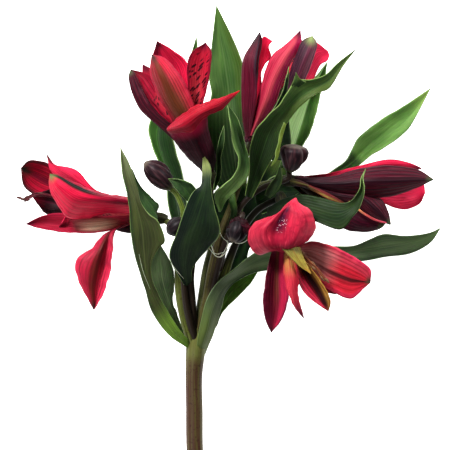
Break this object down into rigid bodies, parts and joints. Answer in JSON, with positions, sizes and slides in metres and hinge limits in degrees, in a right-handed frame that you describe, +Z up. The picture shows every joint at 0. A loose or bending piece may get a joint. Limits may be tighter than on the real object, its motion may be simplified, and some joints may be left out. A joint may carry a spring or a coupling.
{
  "type": "flower stem",
  "caption": "Cut alstroemeria stem lying on a surface: a round stem with rays of funnel-shaped blooms, closed buds and loose strap-shaped leaves.",
  "frame": {"origin": "middle of the plant's bounding box, at the surface it lies on", "axes": "+Y along the stem from the cut end to the blooms, +Z up from the surface, +X to the right seen from above"},
  "size_m": [0.194, 0.2562, 0.0743],
  "materials": {
    "stem": "smooth olive-brown skin",
    "leaf": "satin leaf with lengthwise veins",
    "petal": "soft satin petal, crimson with dark streaks",
    "bud": "satin, near-black purple"
  },
  "bodies": {
    "root": {"bloom_left": "petal", "bloom_low_right": "petal", "bloom_right": "petal", "bloom_top": "petal", "bloom_top_left": "petal", "bract_bud_left": "leaf", "bract_centre": "leaf", "bract_right": "leaf", "bud_centre": "bud", "bud_left": "bud", "bud_low_left": "bud", "bud_right": "bud", "leaf_back_left": "leaf", "leaf_back_right": "leaf", "leaf_behind_bloom": "leaf", "leaf_centre": "leaf", "leaf_cross": "leaf", "leaf_front": "leaf", "leaf_inner_right": "leaf", "leaf_left": "leaf", "leaf_left_low": "leaf", "leaf_low_back": "leaf", "leaf_low_right": "leaf", "leaf_right": "leaf", "leaf_right_front": "leaf", "leaf_top": "leaf", "stem": "stem"}
  },
  "joints": []
}
